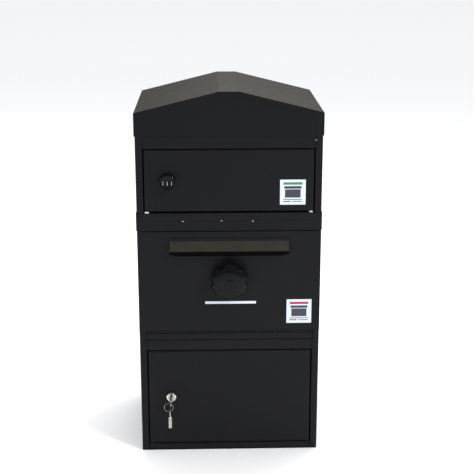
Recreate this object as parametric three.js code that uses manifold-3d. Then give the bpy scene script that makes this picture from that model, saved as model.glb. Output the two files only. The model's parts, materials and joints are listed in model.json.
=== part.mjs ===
// Parcel drop box: three stacked folded-steel modules under a gabled roof. The upper module is a pickup
// compartment with a combination lock, the middle one a tilting drop hopper with a letter slot, and the lower
// one a safe with a tubular cam lock. Millimetres, +X to the right, +Y to the back, +Z up, origin at the
// centre of the base's underside.
import * as THREE from "three";
import { mergeVertices } from "three/addons/utils/BufferGeometryUtils.js";
import Module from "manifold-3d";

const wasm = await Module();
wasm.setup();

// ---------------------------------------------------------------- driving dimensions
const CASE_W = 449; // width over the side walls
const CASE_D = 364; // depth from the front flanges to the rear wall
const LOWER_H = 302; // safe
const MIDDLE_H = 309; // hopper module
const UPPER_H = 264; // pickup compartment, up to the eaves
const SHEET = 1.5; // steel sheet
const BEND = 2.5; // outside radius of a fold
const GAP = 0.3; // between pieces that lie on each other
const PAST = 1; // how far a cutting tool reaches past what it cuts

const JAMB_W = 17.5; // front flange of a case
const JAMB_D = 18; // its return into the box
const RAIL_D = 18; // depth of the cross rails

const ROOF_RISE = 50; // eaves to ridge
const RIDGE_FLAT = 49; // width of the flat ridge
const SKIRT_H = 56; // roof skirt below the eaves
const ROOF_LIP = 12; // folded lip along the gable edges
const ROOF_ROOM = 5; // eaves above the upper case

const TRAY_RIM = 19; // rim of the upper module's base tray
const SILL_DROP = 0.5; // upper sill below the tray's rim
const LID_RIM = 25; // rim of the middle module's lid
const FLOOR_LIP = 15; // upturned edge of the inside floors
const LEDGE_SIDE = 17.5; // transfer frame, left and right
const LEDGE_REAR = 30; // transfer frame, at the back
const ANCHOR_R = 5; // floor anchor holes
const ANCHOR_INSET = 60; // their distance from the case's walls

const DOOR_GAP = 2.3; // at the sides and top of a square door
const DOOR_D = 16; // depth of a door pan
const DOOR_BEND = 3; // outside radius of its folds
const UPPER_SILL_GAP = 4.5; // under the upper door
const LOWER_SILL_H = 17.5; // top of the lower sill
const LOWER_SILL_GAP = 2.5; // under the lower door
const UPPER_HEADER = 87; // head of the upper door's opening below the eaves
const LOWER_HEADER = 30; // top edge of the lower door below the module's top
const PIN_INSET = 6; // pivot pin from the door's side edge and face
const PIN_R = 2.5;
const PIN_FIT = 0.15; // radial clearance of a turning pin
const PIN_REACH = 4; // pin beyond the sheet at each end
const PIN_HOLE = 3; // depth of the tool for a pin hole
const COLLAR_R = 4.2; // pin collar inside the door
const COLLAR_T = 2;
const BUSH_R = 5; // nylon washer under a door
const PAD_W = 10; // nylon rest pad
const PAD_INSET = 1;
const PAD_CORNER = 2;

const LOCK_INSET = 56.7; // both locks, from the door's free edge
const UPPER_LOCK_Z = 98; // above the upper module's base
const LOWER_LOCK_Z = 148;
const BARREL_R = 9.5;
const BARREL_SHORT = 2; // barrel's end in front of the jamb's return
const NUT_WALL = 4; // lock nut's corners beyond the barrel
const NUT_T = 5;
const CAM_T = 2.5;
const CAM_W = 16;
const CAM_OVERLAP = 8; // cam past the edge of the opening when locked
const CAM_FIT = 0.7; // between the cam and the jamb's return
const STUB_R = 3; // spindle end in the cam
const SCREW_R = 5.5;
const SCREW_HEAD = 3;
const SHANK_R = 1.4;
const SHANK_IN = 5; // shank in the spindle
const HEAD_R = 19.5; // combination head
const HEAD_T = 16;
const HEAD_EDGE = 2; // chamfer of its rim
const HEAD_SEAT = 3; // its spacer inside its rim
const SPINDLE_R = 4.9;
const DIAL_R = 6.5;
const DIAL_W = 5;
const DIAL_PITCH = 10.4;
const DIAL_PROUD = 1.3;
const DIAL_DROP = 2; // dial window below the head's centre
const AXLE_R = 1;
const AXLE_IN = 2; // axle in the head beyond the outer dials
const BEZEL_R = 12.5; // cam lock bezel
const BEZEL_T = 4;
const BEZEL_EDGE = 1.5; // its chamfer
const PLUG_R = 7;
const KEY_R = 4.6; // tubular key
const KEY_WALL = 1.1;
const KEY_IN = 6; // length of key inside the plug
const KEY_SOLID = 4; // bore starts this far behind the plug's face
const KEY_REACH = 43; // door face to the hole in the bow
const BOW_W = 14.4;
const BOW_T = 2;
const BOW_L = 30;
const BOW_HOLE_R = 4;
const RING_R = 11.2;
const RING_WIRE = 0.9;
const RING_LEAN = 30; // degrees that the ring hangs off plumb
const SPARE_TURN = 48; // degrees along the ring to the spare key

const HOPPER_FIT = 0.7; // hopper door in front of the flanges
const HOPPER_TOP_GAP = 2; // under the lid's rim
const HOPPER_OPEN = 45; // degrees
const HINGE_Z = 22.4; // hinge axis above the middle module's base
const HINGE_OUT = 0.9; // and in front of the flanges
const BARREL_HINGE_R = 2.4; // hinge barrel
const LEAF = 1; // hinge leaf thickness
const KNUCKLES = 9;
const HINGE_PIN_R = 1.2;
const LEAF_REACH = 16;
const CHEEK_FIT = 5.5; // between a hopper cheek and the opening's edge
const CHEEK_DROP = 34.6; // top of the cheeks below the hopper door's top edge
const TRAY_OFFSET = 25; // tray's underside from the hinge axis
const TRAY_SLOPE = 38; // degrees below level, shut
const TRAY_FLANGE = 18;
const CHEEK_FLANGE = 13;
const CHEEK_LOW = 8; // cheek flange above the tray's flange
const CHEEK_HIGH = 10; // and below the cheek's top
const STOP_R = 4;
const STOP_IN = 13; // stop pin inside the hopper's sweep
const STOP_L = 14;
const BAFFLE_FIT = 5; // behind the hopper's sweep
const BAFFLE_Z = 68; // bottom edge above the module's base
const BAFFLE_FLANGE = 20;

const SLOT_W = 274; // letter slot
const SLOT_H = 28;
const SLOT_DROP = 61; // top of the slot below the middle module's top
const SLOT_CORNER = 2;
const HOOD_SIDE = 8.5; // hood past the slot on each side
const HOOD_OUT = 20;
const HOOD_RISE = 10.5; // top of its slope above the slot
const HOOD_FALL = 21.8; // height of its slope
const HOOD_FOOT = 3; // short upright edge under the slope
const HOOD_FLANGE = 7;
const FLAP_T = 1.2;
const FLAP_ROLL = 2.4;
const FLAP_PIN_R = 1.2;
const FLAP_OVER = 4; // flap past the slot on every side
const FLAP_SIDE = 1; // flap to the hanger's ears
const HANGER_OVER = 8; // hanger past the flap on each side
const HANGER_TOP = 18; // above the flap's pin
const EAR_REACH = 4; // ears behind and below the pin

const KNOB_DROP = 57; // knob's centre below the slot
const KNOB_R = 46;
const KNOB_LOBES = 6;
const KNOB_LOBE = 4.5; // height of a lobe above the hollows, halved
const KNOB_NECK = 10;
const KNOB_NECK_R = 15;
const KNOB_T = 32;
const KNOB_BEVEL = 9;
const STUD_R = 5;
const STUD_IN = 14; // stud behind the hopper door
const STUD_NUT_R = 9.2;
const STUD_NUT_T = 6;

const LABEL = 62;
const LABEL_T = 0.3;
const LABEL_CORNER = 1.5;
const UPPER_LABEL_EDGE = 20; // label from the door's hinge edge
const UPPER_LABEL_Z = 39; // bottom edge above the upper module's base
const MIDDLE_LABEL_EDGE = 20.5; // label from the hopper door's right edge
const MIDDLE_LABEL_Z = 44; // bottom edge above the middle module's base

// ---------------------------------------------------------------- places worked out from them
const HALF_W = CASE_W / 2;
const FRONT = -CASE_D / 2;
const BACK = CASE_D / 2;
const MIDDLE_Z = LOWER_H; // where the middle module starts
const UPPER_Z = LOWER_H + MIDDLE_H;
const EAVES_Z = UPPER_Z + UPPER_H;
const RIDGE_Z = EAVES_Z + ROOF_RISE;
const WRAP = SHEET + GAP; // how far a pan stands proud of a case
const INSIDE = HALF_W - SHEET - GAP; // half width of what sits in a case
const OPENING = HALF_W - JAMB_W; // half width of a door opening
const JAMB_BACK = FRONT + JAMB_D;
const DOOR_HALF = OPENING - DOOR_GAP;
const NUT_R = BARREL_R + NUT_WALL;
const PIN_X = DOOR_HALF - PIN_INSET;
const PIN_Y = FRONT + PIN_INSET;
const LOCK_X = -DOOR_HALF + LOCK_INSET;
const CAM_Y = JAMB_BACK + CAM_FIT;
const CAM_L = OPENING + LOCK_X + CAM_OVERLAP;
const RAIL_HALF = OPENING - GAP;
const LOWER_DOOR_TOP = LOWER_H - LOWER_HEADER;
const HOPPER_BACK = FRONT - HOPPER_FIT;
const HOPPER_FRONT = HOPPER_BACK - SHEET;
const HOPPER_TOP = UPPER_Z - LID_RIM - HOPPER_TOP_GAP;
const HINGE = { y: FRONT - HINGE_OUT, z: MIDDLE_Z + HINGE_Z };
const HOPPER_R = HOPPER_TOP - CHEEK_DROP - HINGE.z; // sweep of the cheeks and tray about the hinge
const STOP_AT = HOPPER_R - STOP_IN;
const CHEEK_OUT = OPENING - CHEEK_FIT;
const DOOR_FOOT = HINGE.z + BARREL_HINGE_R + GAP;
const BEHIND = HOPPER_BACK + GAP; // front of what is fixed behind the hopper door
const LEAF_Z = HINGE.z - BARREL_HINGE_R + GAP;
const RAIL_TOP = LEAF_Z - LEAF - GAP;
const HINGE_HALF = OPENING - 4 * GAP;
const SLOT_HIGH = UPPER_Z - SLOT_DROP;
const SLOT_LOW = SLOT_HIGH - SLOT_H;
const HOOD_HALF = SLOT_W / 2 + HOOD_SIDE;
const KNOB_Z = SLOT_LOW - KNOB_DROP;

const rad = THREE.MathUtils.degToRad;

// ---------------------------------------------------------------- materials
const finish = (color, roughness, metalness) =>
  new THREE.MeshStandardMaterial({ color, roughness, metalness });
const COAT = finish(0x242527, 0.55, 0.1);
const ZINC = finish(0xa8abae, 0.4, 0.8);
const CHROME = finish(0xd8dadd, 0.15, 1);
const BLACK_PLASTIC = finish(0x17181a, 0.45, 0);
const NYLON = finish(0xd9dad6, 0.5, 0);
const RUBBER = finish(0x1a1a1a, 0.9, 0);
const PAPER = finish(0xe4e8ec, 0.5, 0);

// ---------------------------------------------------------------- shape helpers
const shapeOf = (points) => new THREE.Shape(points.map(([u, v]) => new THREE.Vector2(u, v)));

// Extrusions of an outline drawn in (x, y), (x, z) or (y, z), from one level to another.
const extrude = (shape, depth, steps) =>
  new THREE.ExtrudeGeometry(shape, { depth, bevelEnabled: false, curveSegments: steps });

function alongZ(shape, z0, z1, steps = 8) {
  return extrude(shape, z1 - z0, steps).translate(0, 0, z0);
}

function alongY(shape, y0, y1, steps = 8) {
  return extrude(shape, y1 - y0, steps).rotateX(Math.PI / 2).translate(0, y1, 0);
}

function alongX(shape, x0, x1, steps = 8) {
  const turn = new THREE.Matrix4().makeBasis(
    new THREE.Vector3(0, 1, 0),
    new THREE.Vector3(0, 0, 1),
    new THREE.Vector3(1, 0, 0),
  );
  return extrude(shape, x1 - x0, steps).applyMatrix4(turn).translate(x0, 0, 0);
}

function box(x0, x1, y0, y1, z0, z1) {
  return new THREE.BoxGeometry(x1 - x0, y1 - y0, z1 - z0)
    .translate((x0 + x1) / 2, (y0 + y1) / 2, (z0 + z1) / 2);
}

function disc(radius, u = 0, v = 0) {
  const shape = new THREE.Shape();
  shape.absarc(u, v, radius, 0, 2 * Math.PI, false);
  return shape;
}

function roundRect(u0, u1, v0, v1, r) {
  const shape = new THREE.Shape();
  shape.absarc(u1 - r, v0 + r, r, -Math.PI / 2, 0, false);
  shape.absarc(u1 - r, v1 - r, r, 0, Math.PI / 2, false);
  shape.absarc(u0 + r, v1 - r, r, Math.PI / 2, Math.PI, false);
  shape.absarc(u0 + r, v0 + r, r, Math.PI, 1.5 * Math.PI, false);
  return shape;
}

function hexagon(radius, u, v) {
  const corner = (i) => [u + radius * Math.cos((i * Math.PI) / 3), v + radius * Math.sin((i * Math.PI) / 3)];
  return shapeOf([0, 1, 2, 3, 4, 5].map(corner));
}

// The section of a folded sheet: a line with arcs at its folds, and the same line one thickness to its left.
function foldedSheet(corners, thickness = SHEET, bend = BEND, steps = 3) {
  const at = corners.map(([u, v]) => new THREE.Vector2(u, v));
  const near = [];
  const far = [];
  const side = (direction) => new THREE.Vector2(-direction.y, direction.x);
  at.forEach((point, i) => {
    const before = i > 0 ? point.clone().sub(at[i - 1]).normalize() : null;
    const after = i < at.length - 1 ? at[i + 1].clone().sub(point).normalize() : null;
    if (!before || !after) {
      near.push(point);
      far.push(point.clone().addScaledVector(side(before || after), thickness));
      return;
    }
    const turn = Math.atan2(before.cross(after), before.dot(after));
    const left = turn > 0;
    const nearR = left ? bend : bend - thickness;
    const farR = left ? bend - thickness : bend;
    const setback = nearR * Math.tan(Math.abs(turn) / 2);
    const start = point.clone().addScaledVector(before, -setback);
    const centre = start.clone().addScaledVector(side(before), left ? nearR : -nearR);
    for (let k = 0; k <= steps; k++) {
      const spoke = side(before).multiplyScalar(left ? -1 : 1).rotateAround(new THREE.Vector2(), (turn * k) / steps);
      near.push(centre.clone().addScaledVector(spoke, nearR));
      far.push(centre.clone().addScaledVector(spoke, farR));
    }
  });
  return new THREE.Shape([...near, ...far.reverse()]);
}

// A body of revolution about a line along Y: the profile is [radius, y], counter-clockwise.
function turned(profile, x, z, steps = 32) {
  const points = profile.map(([r, y]) => new THREE.Vector2(r, y));
  return new THREE.LatheGeometry(points, steps).translate(x, 0, z);
}

// Booleans on closed geometries.
function solid(geometry) {
  const bare = new THREE.BufferGeometry().setAttribute("position", geometry.getAttribute("position"));
  if (geometry.index) bare.setIndex(geometry.index);
  const merged = mergeVertices(bare, 1e-4);
  const all = merged.index.array;
  const kept = [];
  for (let i = 0; i < all.length; i += 3) {
    const [a, b, c] = [all[i], all[i + 1], all[i + 2]];
    if (a !== b && b !== c && c !== a) kept.push(a, b, c);
  }
  return new wasm.Manifold(
    new wasm.Mesh({
      numProp: 3,
      vertProperties: new Float32Array(merged.getAttribute("position").array),
      triVerts: new Uint32Array(kept),
    }),
  );
}

function geometryOf(body) {
  const mesh = body.getMesh();
  return new THREE.BufferGeometry()
    .setAttribute("position", new THREE.BufferAttribute(new Float32Array(mesh.vertProperties), 3))
    .setIndex(new THREE.BufferAttribute(new Uint32Array(mesh.triVerts), 1));
}

const join = (first, ...others) => geometryOf(others.reduce((sum, g) => sum.add(solid(g)), solid(first)));
const cut = (first, ...others) => geometryOf(others.reduce((left, g) => left.subtract(solid(g)), solid(first)));
const common = (first, other) => geometryOf(solid(first).intersect(solid(other)));

const group = new THREE.Group();

function add(name, geometry, material) {
  const mesh = new THREE.Mesh(geometry, material);
  mesh.name = name;
  group.add(mesh);
  return mesh;
}

// ---------------------------------------------------------------- cases, rails, floors and pans
// One wrap of sheet: both side walls, the rear wall and two front flanges with returns.
function caseWrap(z0, z1) {
  const corners = [
    [OPENING, JAMB_BACK],
    [OPENING, FRONT],
    [HALF_W, FRONT],
    [HALF_W, BACK],
    [-HALF_W, BACK],
    [-HALF_W, FRONT],
    [-OPENING, FRONT],
    [-OPENING, JAMB_BACK],
  ];
  return alongZ(foldedSheet(corners), z0, z1);
}

// A cross rail between the jambs, its flanges turned back.
function rail(z0, z1, depth = RAIL_D) {
  const corners = [
    [FRONT + depth, z1],
    [FRONT, z1],
    [FRONT, z0],
    [FRONT + depth, z0],
  ];
  return alongX(foldedSheet(corners), -RAIL_HALF, RAIL_HALF);
}

const pinHole = (z0, z1) => alongZ(disc(PIN_R + PIN_FIT, PIN_X, PIN_Y), z0, z1, 12);

// A pan wrapped round the outside of a case: a plate with its rim up or down.
function pan(plate0, plate1, rimEnd) {
  const low = Math.min(plate0, rimEnd);
  const high = Math.max(plate1, rimEnd);
  const outside = roundRect(-HALF_W - WRAP, HALF_W + WRAP, FRONT - WRAP, BACK + WRAP, BEND + WRAP);
  const inside = roundRect(-HALF_W - GAP, HALF_W + GAP, FRONT - GAP, BACK + GAP, BEND + GAP);
  const room = rimEnd > plate1 ? [plate1, rimEnd + PAST] : [rimEnd - PAST, plate0];
  return cut(alongZ(outside, low, high, 4), alongZ(inside, room[0], room[1], 4));
}

// A floor inside a case, its lips turned up beside the walls.
function insideFloor(z0, lip) {
  const front = JAMB_BACK + GAP;
  const rear = BACK - SHEET - GAP;
  return cut(
    alongZ(roundRect(-INSIDE, INSIDE, front, rear, BEND), z0, z0 + lip, 3),
    box(-INSIDE + SHEET, INSIDE - SHEET, front - PAST, rear - SHEET, z0 + SHEET, z0 + lip + PAST),
  );
}

function addLowerModule() {
  add("lower_case", caseWrap(0, LOWER_H), COAT);
  const holes = [];
  for (const sx of [-1, 1]) {
    for (const sy of [-1, 1]) {
      const centre = [sx * (HALF_W - ANCHOR_INSET), sy * (BACK - ANCHOR_INSET)];
      holes.push(alongZ(disc(ANCHOR_R, ...centre), -PAST, SHEET + PAST));
    }
  }
  const tongue = box(-RAIL_HALF, RAIL_HALF, FRONT, JAMB_BACK + BEND, 0, SHEET);
  add("lower_floor", cut(join(insideFloor(0, FLOOR_LIP), tongue), ...holes), COAT);
  const sill = rail(SHEET + GAP, LOWER_SILL_H);
  add("lower_bottom_rail", cut(sill, pinHole(LOWER_SILL_H - PIN_HOLE, LOWER_SILL_H + PAST)), COAT);
  const foot = LOWER_DOOR_TOP + DOOR_GAP;
  add("lower_top_rail", cut(rail(foot, LOWER_H), pinHole(foot - PAST, foot + PIN_HOLE)), COAT);
}

function addMiddleModule() {
  const base = MIDDLE_Z + GAP;
  const lidPlate = UPPER_Z - SHEET;
  add("middle_case", caseWrap(base, lidPlate - GAP), COAT);
  const opening = box(
    -INSIDE + LEDGE_SIDE, INSIDE - LEDGE_SIDE,
    FRONT - PAST, BACK - SHEET - GAP - LEDGE_REAR,
    base - PAST, base + SHEET + PAST,
  );
  add("transfer_frame", cut(insideFloor(base, FLOOR_LIP), opening), COAT);
  add("middle_bottom_rail", rail(base, RAIL_TOP), COAT);
  add("middle_lid", pan(lidPlate, UPPER_Z, UPPER_Z - LID_RIM), COAT);
  const front = HINGE.y + HOPPER_R + BAFFLE_FIT;
  const corners = [
    [front + BAFFLE_FLANGE, lidPlate - GAP],
    [front, lidPlate - GAP],
    [front, MIDDLE_Z + BAFFLE_Z],
    [front + BAFFLE_FLANGE, MIDDLE_Z + BAFFLE_Z],
  ];
  add("anti_fishing_baffle", alongX(foldedSheet(corners), -INSIDE, INSIDE), COAT);
}

function addUpperModule() {
  const plate = UPPER_Z + GAP;
  const floor = plate + SHEET + GAP;
  const sill = UPPER_Z + TRAY_RIM - SILL_DROP;
  const top = EAVES_Z - ROOF_ROOM;
  add("upper_base_tray", pan(plate, plate + SHEET, UPPER_Z + TRAY_RIM), COAT);
  add("upper_case", caseWrap(floor, top), COAT);
  add("upper_bottom_rail", cut(rail(floor, sill), pinHole(sill - PIN_HOLE, sill + PAST)), COAT);
  const foot = EAVES_Z - UPPER_HEADER;
  add("upper_top_rail", cut(rail(foot, top), pinHole(foot - PAST, foot + PIN_HOLE)), COAT);
  return { sill, head: foot };
}

// ---------------------------------------------------------------- roof
// The roof line, outside, dropped by an amount square to each slope.
function roofLine(drop, half) {
  const slope = Math.atan2(ROOF_RISE, HALF_W + WRAP - RIDGE_FLAT / 2);
  const eaves = EAVES_Z - drop / Math.cos(slope) + (HALF_W + WRAP - half) * Math.tan(slope);
  const ridgeHalf = RIDGE_FLAT / 2 - drop * Math.tan(slope / 2);
  return [
    [half, eaves],
    [ridgeHalf, RIDGE_Z - drop],
    [-ridgeHalf, RIDGE_Z - drop],
    [-half, eaves],
  ];
}

function addRoof() {
  const half = HALF_W + WRAP;
  const foot = EAVES_Z - SKIRT_H;
  const front = FRONT - 2 * WRAP;
  const back = BACK + 2 * WRAP;
  const section = [[half, foot], ...roofLine(0, half), [-half, foot]];
  const lip = shapeOf([...roofLine(0.01, half - SHEET / 2), ...roofLine(ROOF_LIP, half - SHEET / 2).reverse()]);
  const shell = join(
    alongY(foldedSheet(section), front, back),
    alongY(lip, front, front + SHEET),
    alongY(lip, back - SHEET, back),
  );
  add("roof_shell", shell, COAT);
  const inner = half - WRAP;
  const gable = shapeOf([[inner, foot], ...roofLine(WRAP, inner), [-inner, foot]]);
  add("roof_front_gable", alongY(gable, front + WRAP, front + WRAP + SHEET), COAT);
  add("roof_rear_gable", alongY(gable, back - WRAP - SHEET, back - WRAP), COAT);
}

// ---------------------------------------------------------------- square doors on pivot pins
function doorPan(z0, z1) {
  const front = roundRect(-DOOR_HALF, DOOR_HALF, FRONT, FRONT + 2 * DOOR_D, DOOR_BEND);
  const side = roundRect(FRONT, FRONT + 2 * DOOR_D, z0, z1, DOOR_BEND);
  const block = common(alongZ(front, z0, z1, 4), alongX(side, -DOOR_HALF, DOOR_HALF, 4));
  const rear = box(-DOOR_HALF - PAST, DOOR_HALF + PAST, FRONT + DOOR_D, FRONT + 3 * DOOR_D, z0 - PAST, z1 + PAST);
  const room = box(
    -DOOR_HALF + SHEET, DOOR_HALF - SHEET, FRONT + SHEET, FRONT + 3 * DOOR_D, z0 + SHEET, z1 - SHEET,
  );
  return cut(block, rear, room, pinHole(z0 - PAST, z0 + PIN_HOLE), pinHole(z1 - PIN_HOLE, z1 + PAST));
}

// A pin through a door's edge and a rail, with a collar inside the door.
function pivotPin(inner, outer) {
  const up = Math.sign(outer - inner);
  const span = (a, b) => [Math.min(a, b), Math.max(a, b)];
  const shaft = alongZ(disc(PIN_R, PIN_X, PIN_Y), ...span(inner - up * PIN_REACH, outer + up * PIN_REACH), 8);
  const collar = alongZ(disc(COLLAR_R, PIN_X, PIN_Y), ...span(inner - up * COLLAR_T, inner), 8);
  return join(shaft, collar);
}

function addDoor(prefix, z0, z1, sill, head, lockZ, padFinish) {
  const hole = alongY(disc(BARREL_R + GAP, LOCK_X, lockZ), FRONT - PAST, FRONT + SHEET + PAST, 16);
  add(prefix + "_door", cut(doorPan(z0, z1), hole), COAT);
  add(prefix + "_door_pin_top", pivotPin(z1 - SHEET - GAP, head + SHEET), COAT);
  add(prefix + "_door_pin_bottom", pivotPin(z0 + SHEET + GAP, sill - SHEET), COAT);
  const washer = disc(BUSH_R, PIN_X, PIN_Y);
  washer.holes.push(disc(PIN_R + PIN_FIT, PIN_X, PIN_Y));
  add(prefix + "_pivot_washer", alongZ(washer, sill + GAP, z0 - GAP, 12), padFinish);
  const padY = FRONT + PAD_INSET;
  const pad = roundRect(-DOOR_HALF, -DOOR_HALF + PAD_W, padY, padY + PAD_W, PAD_CORNER);
  add(prefix + "_rest_pad", alongZ(pad, sill + GAP, z0 - GAP, 4), padFinish);
}

// ---------------------------------------------------------------- locks
function lockNut(z) {
  const nut = hexagon(NUT_R, LOCK_X, z);
  nut.holes.push(disc(BARREL_R + GAP, LOCK_X, z));
  const y0 = FRONT + SHEET + GAP;
  return alongY(nut, y0, y0 + NUT_T, 12);
}

// Cam pointing down, its round end on the spindle.
function lockCam(z) {
  const half = CAM_W / 2;
  const arm = new THREE.Shape();
  arm.absarc(LOCK_X, z, half, 0, Math.PI, false);
  arm.absarc(LOCK_X, z - CAM_L + half, half, Math.PI, 2 * Math.PI, false);
  arm.holes.push(disc(STUB_R + GAP, LOCK_X, z));
  return alongY(arm, CAM_Y, CAM_Y + CAM_T, 10);
}

function camScrew(z) {
  const seat = CAM_Y + CAM_T + GAP;
  const profile = [
    [0, seat - CAM_T - SHANK_IN],
    [SHANK_R, seat - CAM_T - SHANK_IN],
    [SHANK_R, seat],
    [SCREW_R, seat],
    [SCREW_R, seat + SCREW_HEAD / 2],
    [SCREW_R - SCREW_HEAD / 2, seat + SCREW_HEAD],
    [0, seat + SCREW_HEAD],
  ];
  return turned(profile, LOCK_X, z, 20);
}

// The end of a spindle: a shoulder in front of the cam, a stub in it, and a blind hole for the screw.
function spindleEnd(radius) {
  const tip = CAM_Y + CAM_T;
  return [
    [radius, CAM_Y - GAP],
    [STUB_R, CAM_Y - GAP],
    [STUB_R, tip],
    [SHANK_R + GAP, tip],
    [SHANK_R + GAP, tip - CAM_T - SHANK_IN - GAP],
    [0, tip - CAM_T - SHANK_IN - GAP],
  ];
}

function addCombinationLock(z) {
  const flange = FRONT - GAP;
  const back = flange - SHEET - GAP;
  const face = back - HEAD_T;
  const bore = SPINDLE_R + PIN_FIT;
  const barrelEnd = JAMB_BACK - BARREL_SHORT;
  const barrel = [
    [bore, flange - SHEET],
    [HEAD_R - HEAD_SEAT, flange - SHEET],
    [HEAD_R - HEAD_SEAT, flange],
    [BARREL_R, flange],
    [BARREL_R, barrelEnd],
    [bore, barrelEnd],
    [bore, flange - SHEET],
  ];
  add("combination_lock_barrel", turned(barrel, LOCK_X, z), ZINC);
  add("combination_lock_nut", lockNut(z), ZINC);
  const head = [
    [0, face],
    [HEAD_R - HEAD_EDGE, face],
    [HEAD_R, face + HEAD_EDGE],
    [HEAD_R, back],
    [SPINDLE_R, back],
    ...spindleEnd(SPINDLE_R),
  ];
  const axleY = face - DIAL_PROUD + DIAL_R;
  const dialZ = z - DIAL_DROP;
  const dialX = [-1, 0, 1].map((i) => LOCK_X + i * DIAL_PITCH);
  const windows = dialX.map((x) =>
    box(
      x - DIAL_W / 2 - GAP, x + DIAL_W / 2 + GAP, face - PAST, axleY + DIAL_R + GAP,
      dialZ - DIAL_R - GAP, dialZ + DIAL_R + GAP,
    ),
  );
  const reach = DIAL_PITCH + DIAL_W / 2 + AXLE_IN;
  const axle = alongX(disc(AXLE_R, axleY, dialZ), LOCK_X - reach, LOCK_X + reach);
  const body = join(cut(turned(head, LOCK_X, z, 40), ...windows), axle);
  add("combination_lock_head", body, BLACK_PLASTIC);
  dialX.forEach((x, i) => {
    const dial = disc(DIAL_R, axleY, dialZ);
    dial.holes.push(disc(AXLE_R + GAP, axleY, dialZ));
    add("combination_dial_" + (i + 1), alongX(dial, x - DIAL_W / 2, x + DIAL_W / 2, 20), BLACK_PLASTIC);
  });
  add("combination_cam", lockCam(z), ZINC);
  add("combination_cam_screw", camScrew(z), ZINC);
}

// A tubular key, its bow's hole at the origin, its tip towards +Y and its bow in the YZ plane.
function tubularKey() {
  const tip = KEY_REACH - BEZEL_T + KEY_IN;
  const root = BOW_L / 2;
  const bore = tip - KEY_IN - KEY_SOLID;
  const wall = KEY_R - KEY_WALL;
  const shaft = [
    [0, root],
    [KEY_R, root],
    [KEY_R, tip],
    [wall, tip],
    [wall, bore],
    [0, bore],
  ];
  const half = BOW_W / 2;
  const bow = new THREE.Shape();
  bow.absarc(0, 0, half, Math.PI / 2, 1.5 * Math.PI, false);
  bow.absarc(BOW_L - half, 0, half, -Math.PI / 2, Math.PI / 2, false);
  bow.holes.push(disc(BOW_HOLE_R));
  return join(turned(shaft, 0, 0, 24), alongX(bow, -BOW_T / 2, BOW_T / 2, 10));
}

function addCamLock(z) {
  const flange = FRONT - GAP;
  const face = flange - BEZEL_T;
  const bore = PLUG_R + PIN_FIT;
  const barrelEnd = JAMB_BACK - BARREL_SHORT;
  const barrel = [
    [bore, face],
    [BEZEL_R - BEZEL_EDGE, face],
    [BEZEL_R, face + BEZEL_EDGE],
    [BEZEL_R, flange],
    [BARREL_R, flange],
    [BARREL_R, barrelEnd],
    [bore, barrelEnd],
    [bore, face],
  ];
  add("cam_lock_barrel", turned(barrel, LOCK_X, z), CHROME);
  add("cam_lock_nut", lockNut(z), ZINC);
  const grooveEnd = face + KEY_IN + 2 * GAP;
  const post = KEY_R - KEY_WALL - GAP;
  const plug = [
    [0, face + GAP],
    [post, face + GAP],
    [post, grooveEnd],
    [KEY_R + GAP, grooveEnd],
    [KEY_R + GAP, face + GAP],
    [PLUG_R, face + GAP],
    ...spindleEnd(PLUG_R),
  ];
  add("cam_lock_plug", turned(plug, LOCK_X, z), CHROME);
  add("cam_lock_cam", lockCam(z), ZINC);
  add("cam_lock_cam_screw", camScrew(z), ZINC);
  const holeY = FRONT - KEY_REACH;
  add("key", tubularKey(), CHROME).position.set(LOCK_X, holeY, z);
  const lean = rad(RING_LEAN);
  const ring = { x: LOCK_X - RING_R * Math.sin(lean), z: z - RING_R * Math.cos(lean) };
  const torus = new THREE.TorusGeometry(RING_R, RING_WIRE, 8, 36).rotateX(Math.PI / 2);
  add("key_ring", torus, ZINC).position.set(ring.x, holeY, ring.z);
  const spare = rad(-90 - RING_LEAN + SPARE_TURN);
  const spareKey = add("spare_key", tubularKey(), CHROME);
  spareKey.position.set(ring.x + RING_R * Math.cos(spare), holeY, ring.z + RING_R * Math.sin(spare));
  spareKey.rotation.x = -Math.PI / 2;
}

// ---------------------------------------------------------------- hopper
// A point in the hinge's own polar coordinates, in the (y, z) plane.
const swing = (radius, angle) => [
  HINGE.y + radius * Math.cos(rad(angle)),
  HINGE.z + radius * Math.sin(rad(angle)),
];

// The tray's underside: where it starts at the door and where it ends at the back.
function trayLine(inset = 0) {
  const along = new THREE.Vector2(Math.cos(rad(TRAY_SLOPE)), -Math.sin(rad(TRAY_SLOPE)));
  const up = new THREE.Vector2(-along.y, along.x);
  const foot = new THREE.Vector2(HINGE.y, HINGE.z).addScaledVector(up, TRAY_OFFSET);
  const reach = Math.sqrt(HOPPER_R ** 2 - (TRAY_OFFSET + SHEET) ** 2);
  const start = foot.clone().addScaledVector(along, (BEHIND - foot.x) / along.x);
  const end = foot.clone().addScaledVector(along, reach - inset);
  return { start, end, along, up };
}

function hopperCheek(side) {
  const { start, end } = trayLine();
  const top = Math.asin((BEHIND + SHEET - HINGE.y) / HOPPER_R);
  const low = Math.atan2(end.y - HINGE.z, end.x - HINGE.y);
  const outline = new THREE.Shape();
  outline.moveTo(BEHIND, start.y);
  outline.lineTo(end.x, end.y);
  outline.absarc(HINGE.y, HINGE.z, HOPPER_R, low, Math.PI / 2 - top, false);
  outline.lineTo(BEHIND, HINGE.z + HOPPER_R - SHEET);
  const x = [side * (CHEEK_OUT - SHEET), side * CHEEK_OUT].sort((a, b) => a - b);
  const plate = alongX(outline, ...x, 20);
  const inner = [side * (CHEEK_OUT - CHEEK_FLANGE), side * CHEEK_OUT].sort((a, b) => a - b);
  const foot = start.y + TRAY_FLANGE + CHEEK_LOW;
  return join(plate, box(...inner, BEHIND, BEHIND + SHEET, foot, HINGE.z + HOPPER_R - CHEEK_HIGH));
}

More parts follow.
